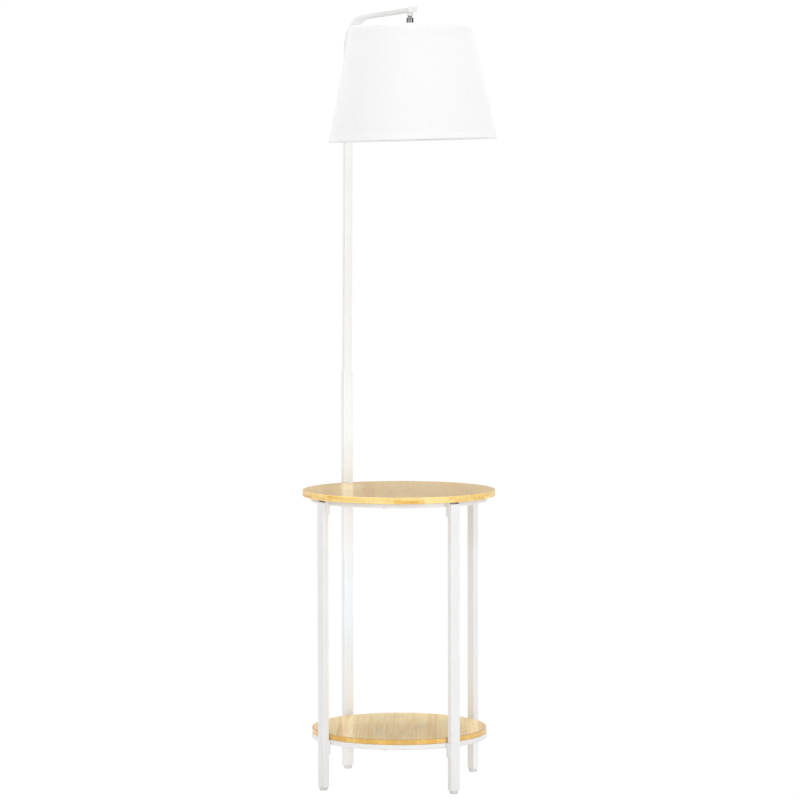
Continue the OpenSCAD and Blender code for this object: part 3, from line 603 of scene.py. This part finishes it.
def stage():
    me = bpy.data.meshes.new("floor")
    s = 400.0
    me.from_pydata([(-s, -s, 0), (s, -s, 0), (s, s, 0), (-s, s, 0)], [], [(0, 1, 2, 3)])
    floor = bpy.data.objects.new("floor", me)
    scene.collection.objects.link(floor)
    t = Tree("floor_pale")
    seen = t.node("ShaderNodeLightPath").outputs["Is Camera Ray"]
    grey = t.math("SUBTRACT", 0.30, t.math("MULTIPLY", seen, 0.30))
    t.set(color=grey, rough=1.0, spec=0.0, emit=(1, 1, 1, 1), emit_strength=t.math("ADD", FLOOR_GLOW, t.math("MULTIPLY", seen, 1.012 - FLOOR_GLOW)))
    me.materials.append(t.mat)

    # a soft room: white to the camera, brighter above than at the horizon, and dim at the horizon for reflections
    world = bpy.data.worlds.new("studio")
    scene.world = world
    t = bare_tree(world)
    out = t.node("ShaderNodeOutputWorld")
    path = t.node("ShaderNodeLightPath").outputs
    x, y, z = t.apart(t.coords("Generated"))
    up = t.math("MULTIPLY", UP, t.span(z, -0.1, 1.0))
    back = t.math("MULTIPLY", BACK, t.math("MULTIPLY", t.span(y, 0.0, 0.6, smooth=True), t.span(z, 0.0, 0.35, smooth=True)))
    right = t.math("MULTIPLY", RIGHT, t.span(x, 0.2, 1.0))
    left = t.math("MULTIPLY", LEFT, t.span(x, -0.2, -1.0))
    soft = t.math("ADD", t.math("ADD", up, back), t.math("ADD", right, left))
    # what shows in reflections: three levels by height, dimmer round the camera
    rise = t.span(z, 0.08, 0.16, smooth=True)
    high = t.span(z, 0.20, 0.75, smooth=True)
    front = t.span(y, -0.90, -0.55, 0.25, 1.0, smooth=True)
    sides = t.span(t.math("ABSOLUTE", x), 0.60, 0.95, 1.0, 0.6, smooth=True)
    dark = t.math("MAXIMUM", t.math("MULTIPLY", front, sides), t.span(z, 0.25, 0.6))
    gloss = t.math("MULTIPLY", GLOSS_LOW, t.math("SUBTRACT", 1.0, rise))
    gloss = t.math("ADD", gloss, t.math("MULTIPLY", GLOSS_MID, t.math("MULTIPLY", rise, t.math("SUBTRACT", 1.0, high))))
    gloss = t.math("MULTIPLY", t.math("ADD", gloss, t.math("MULTIPLY", GLOSS_HIGH, high)), dark)
    shiny, seen = path["Is Glossy Ray"], path["Is Camera Ray"]
    level = t.math("ADD", soft, t.math("MULTIPLY", shiny, t.math("SUBTRACT", gloss, soft)))
    level = t.math("ADD", level, t.math("MULTIPLY", seen, t.math("SUBTRACT", 1.012, level)))
    bg = t.node("ShaderNodeBackground")
    bg.inputs[0].default_value = (1, 1, 1, 1)
    t.put(bg.inputs[1], level)
    t.nt.links.new(bg.outputs[0], out.inputs[0])


FLOOR_GLOW = 0.51
UP, BACK, RIGHT, LEFT = 0.62, 0.65, 0.35, 0.34
GLOSS_LOW, GLOSS_MID, GLOSS_HIGH = 0.44, 0.36, 1.40
stage()


def strip_light(name, place, target, size, radiance, tint=(1, 1, 1)):
    """A narrow panel close to one leg, aimed at it."""
    o = softbox(name, 0, 0, 0, size, radiance, 0, tint)
    o.location = place
    o.rotation_quaternion = (Vector(target) - Vector(place)).to_track_quat("-Z", "Y")
    o.visible_glossy = False
    return o


def softbox(name, azimuth, height, distance, size, radiance, aim=0.9, tint=(1, 1, 1)):
    """A soft light panel. Azimuth is from the front (-Y) towards +X, in degrees."""
    a = math.radians(azimuth)
    d = bpy.data.lights.new(name, "AREA")
    d.shape = "RECTANGLE"
    d.size, d.size_y = size
    d.energy = radiance * math.pi * size[0] * size[1]
    d.color = tint
    o = bpy.data.objects.new(name, d)
    scene.collection.objects.link(o)
    o.location = (distance * math.sin(a), -distance * math.cos(a), height)
    o.rotation_mode = "QUATERNION"
    o.rotation_quaternion = (Vector((0, 0, aim)) - o.location).to_track_quat("-Z", "Y")
    o.visible_camera = False
    return o


softbox("softbox_front", 8, 1.35, 3.6, (1.6, 2.2), 0.12, 1.1)
softbox("softbox_left", -26, 1.25, 3.4, (1.5, 2.2), 2.16, 1.1)
softbox("softbox_left_high", -62, 2.1, 3.2, (1.4, 1.6), 1.90, 1.2)
softbox("softbox_right", 40, 1.25, 3.4, (1.7, 2.2), 3.30, 1.1)
softbox("softbox_top", 180, 3.3, 0.3, (1.6, 1.6), 7.60, 0.8)
softbox("softbox_high", 0, 3.2, 2.3, (1.8, 1.4), 0.19, 0.9)
softbox("sweep_low", 180, 0.12, 1.15, (3.0, 0.24), 1.00, 0.12, (0.96, 1.0, 1.20))
# the boards throw warm light on the back legs, and these narrow panels make them neutral again
strip_light("strip_post", (-0.085, 0.02, 0.36), (-0.11, 0.155, 0.36), (0.06, 0.44), 1.0, (0.50, 0.92, 1.36))
strip_light("strip_post_up", (-0.09, 0.0, 0.73), (-0.11, 0.155, 0.73), (0.06, 0.22), 1.0, (0.60, 1.14, 1.48))
strip_light("strip_post_high", (-0.085, 0.02, 0.515), (-0.11, 0.155, 0.54), (0.06, 0.10), 1.5, (1.08, 0.94, 0.90))
strip_light("strip_low_post", (-0.085, 0.02, 0.055), (-0.11, 0.155, 0.05), (0.06, 0.08), 4.0, (0.86, 1.00, 1.16))
strip_light("strip_low_right", (0.125, -0.02, 0.055), (0.153, 0.11, 0.05), (0.06, 0.08), 2.4, (0.88, 1.00, 1.16))
strip_light("strip_post_foot", (-0.095, 0.03, 0.66), (-0.11, 0.155, 0.64), (0.05, 0.07), 0.9, (0.30, 0.80, 1.50))
strip_light("strip_back_right", (0.125, -0.02, 0.36), (0.153, 0.11, 0.36), (0.06, 0.44), 0.34, (0.02, 0.32, 1.0))


# ------------------------------------------------------------------ camera
def camera():
    yaw, pitch, roll = 0.0005, 0.0628, 0.0015
    f = Vector((math.sin(yaw) * math.cos(pitch), math.cos(yaw) * math.cos(pitch), -math.sin(pitch)))
    r = Vector((math.cos(yaw), -math.sin(yaw), 0))
    d = f.cross(r)
    right = math.cos(roll) * r + math.sin(roll) * d
    down = -math.sin(roll) * r + math.cos(roll) * d
    m = Matrix((right, -down, -f)).transposed().to_4x4()
    m.translation = Vector((-0.0011515, -7.1195541, 1.2336817))
    data = bpy.data.cameras.new("camera")
    data.lens = 3485.3624 * 36 / 800
    data.sensor_width = 36
    data.clip_start, data.clip_end = 0.05, 100
    cam = bpy.data.objects.new("camera", data)
    scene.collection.objects.link(cam)
    cam.matrix_world = m
    scene.camera = cam


camera()
scene.view_settings.view_transform = "Standard"
scene.view_settings.look = "None"
scene.view_settings.exposure = 0.0
scene.view_settings.gamma = 1.0
